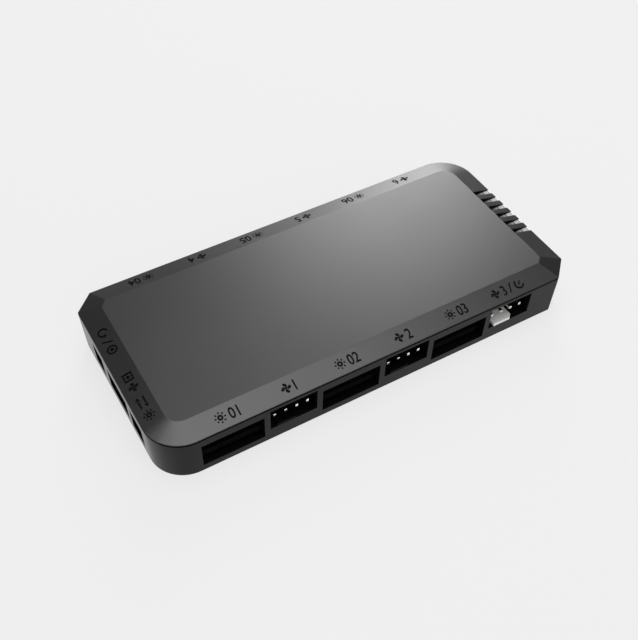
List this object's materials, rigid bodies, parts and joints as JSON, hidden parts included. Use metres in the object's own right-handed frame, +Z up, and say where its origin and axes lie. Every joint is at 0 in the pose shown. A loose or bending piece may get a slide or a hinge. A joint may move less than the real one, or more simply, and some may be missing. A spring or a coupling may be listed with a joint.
{
  "type": "pc fan controller hub",
  "caption": "Flat box-shaped hub with a sloped rim and vent slots whose walls hold sockets for case fans and light strips, sharing one power feed and one speed signal.",
  "frame": {"origin": "middle of the underside, on the surface that the hub lies on", "axes": "+X along the long front side towards the vent slots, +Y from the front sockets to the rear ones, +Z up"},
  "size_m": [0.1006, 0.047, 0.0121],
  "materials": {
    "case_plastic": "dark grey moulded plastic, fine satin grain",
    "header_black": "black moulded plastic",
    "header_white": "white moulded plastic",
    "pin_metal": "tin plated, bright",
    "contact_metal": "gold plated",
    "board_laminate": "black solder mask",
    "chip_plastic": "moulded chip body",
    "can_metal": "drawn can",
    "screw_steel": "dark zinc plated"
  },
  "bodies": {
    "root": {"bottom_case": "case_plastic", "top_cover": "case_plastic", "circuit_board": "board_laminate", "case_screws": "screw_steel", "speed_header": "header_black", "speed_pins": "pin_metal", "reset_header": "header_black", "reset_pins": "pin_metal", "sync_header": "header_black", "sync_pins": "pin_metal", "power_inlet": "header_black", "power_contacts": "contact_metal", "controller_chip": "chip_plastic", "signal_buffers": "chip_plastic", "voltage_regulator": "chip_plastic", "filter_capacitors": "can_metal", "fan_header_front_1": "header_black", "fan_pins_front_1": "pin_metal", "light_header_front_1": "header_black", "light_pins_front_1": "pin_metal", "fan_header_front_2": "header_black", "fan_pins_front_2": "pin_metal", "light_header_front_2": "header_black", "light_pins_front_2": "pin_metal", "fan_header_front_3": "header_white", "fan_pins_front_3": "pin_metal", "light_header_front_3": "header_black", "light_pins_front_3": "pin_metal", "fan_header_rear_1": "header_black", "fan_pins_rear_1": "pin_metal", "light_header_rear_1": "header_black", "light_pins_rear_1": "pin_metal", "fan_header_rear_2": "header_black", "fan_pins_rear_2": "pin_metal", "light_header_rear_2": "header_black", "light_pins_rear_2": "pin_metal", "fan_header_rear_3": "header_black", "fan_pins_rear_3": "pin_metal", "light_header_rear_3": "header_black", "light_pins_rear_3": "pin_metal"}
  },
  "joints": []
}
